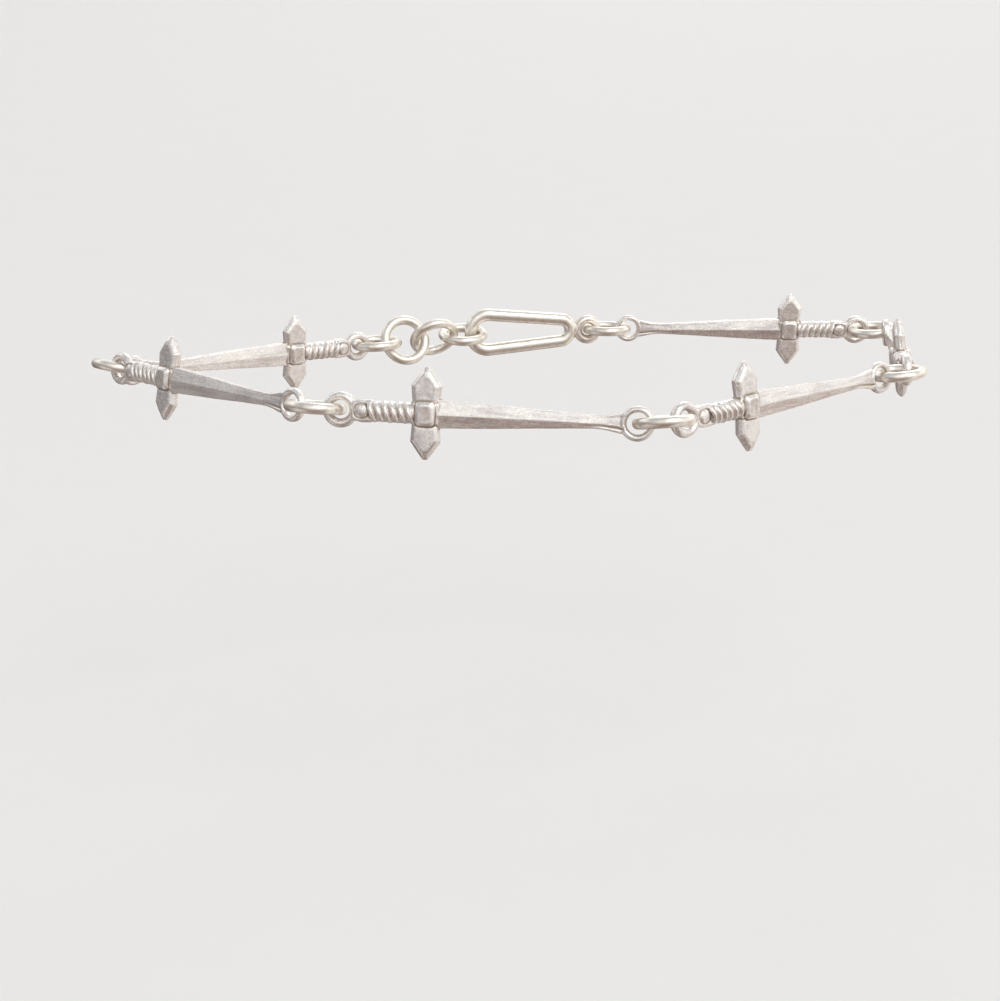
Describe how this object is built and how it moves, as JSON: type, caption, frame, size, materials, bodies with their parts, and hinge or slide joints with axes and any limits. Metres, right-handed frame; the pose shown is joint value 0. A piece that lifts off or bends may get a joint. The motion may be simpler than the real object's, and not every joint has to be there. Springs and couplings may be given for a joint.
{
  "type": "chain link bracelet",
  "caption": "Silver chain bracelet of small cast sword links joined by round jump rings, closed into a worn loop by a claw clasp.",
  "frame": {"origin": "middle of the space that the wrist goes through, level with the visible pommel rings", "axes": "+Z towards the forearm of the wearer, -Y towards the side that the picture shows, +X to the viewer's right"},
  "size_m": [0.0863, 0.0557, 0.0092],
  "materials": {
    "cast_silver": "cast sterling silver, satin, slightly worn, darker in the hollows",
    "ring_silver": "drawn sterling silver wire, smooth, a little warmer and brighter than the castings"
  },
  "bodies": {
    "root": {"sword_link_1": "cast_silver", "sword_link_2": "cast_silver", "sword_link_3": "cast_silver", "sword_link_4": "cast_silver", "sword_link_5": "cast_silver", "sword_link_6": "cast_silver", "jump_ring_1": "ring_silver", "jump_ring_2": "ring_silver", "jump_ring_3": "ring_silver", "jump_ring_4": "ring_silver", "jump_ring_5": "ring_silver", "jump_ring_6": "ring_silver", "jump_ring_7": "ring_silver", "jump_ring_8": "ring_silver", "jump_ring_9": "ring_silver", "jump_ring_10": "ring_silver", "clasp": "ring_silver"}
  },
  "joints": []
}
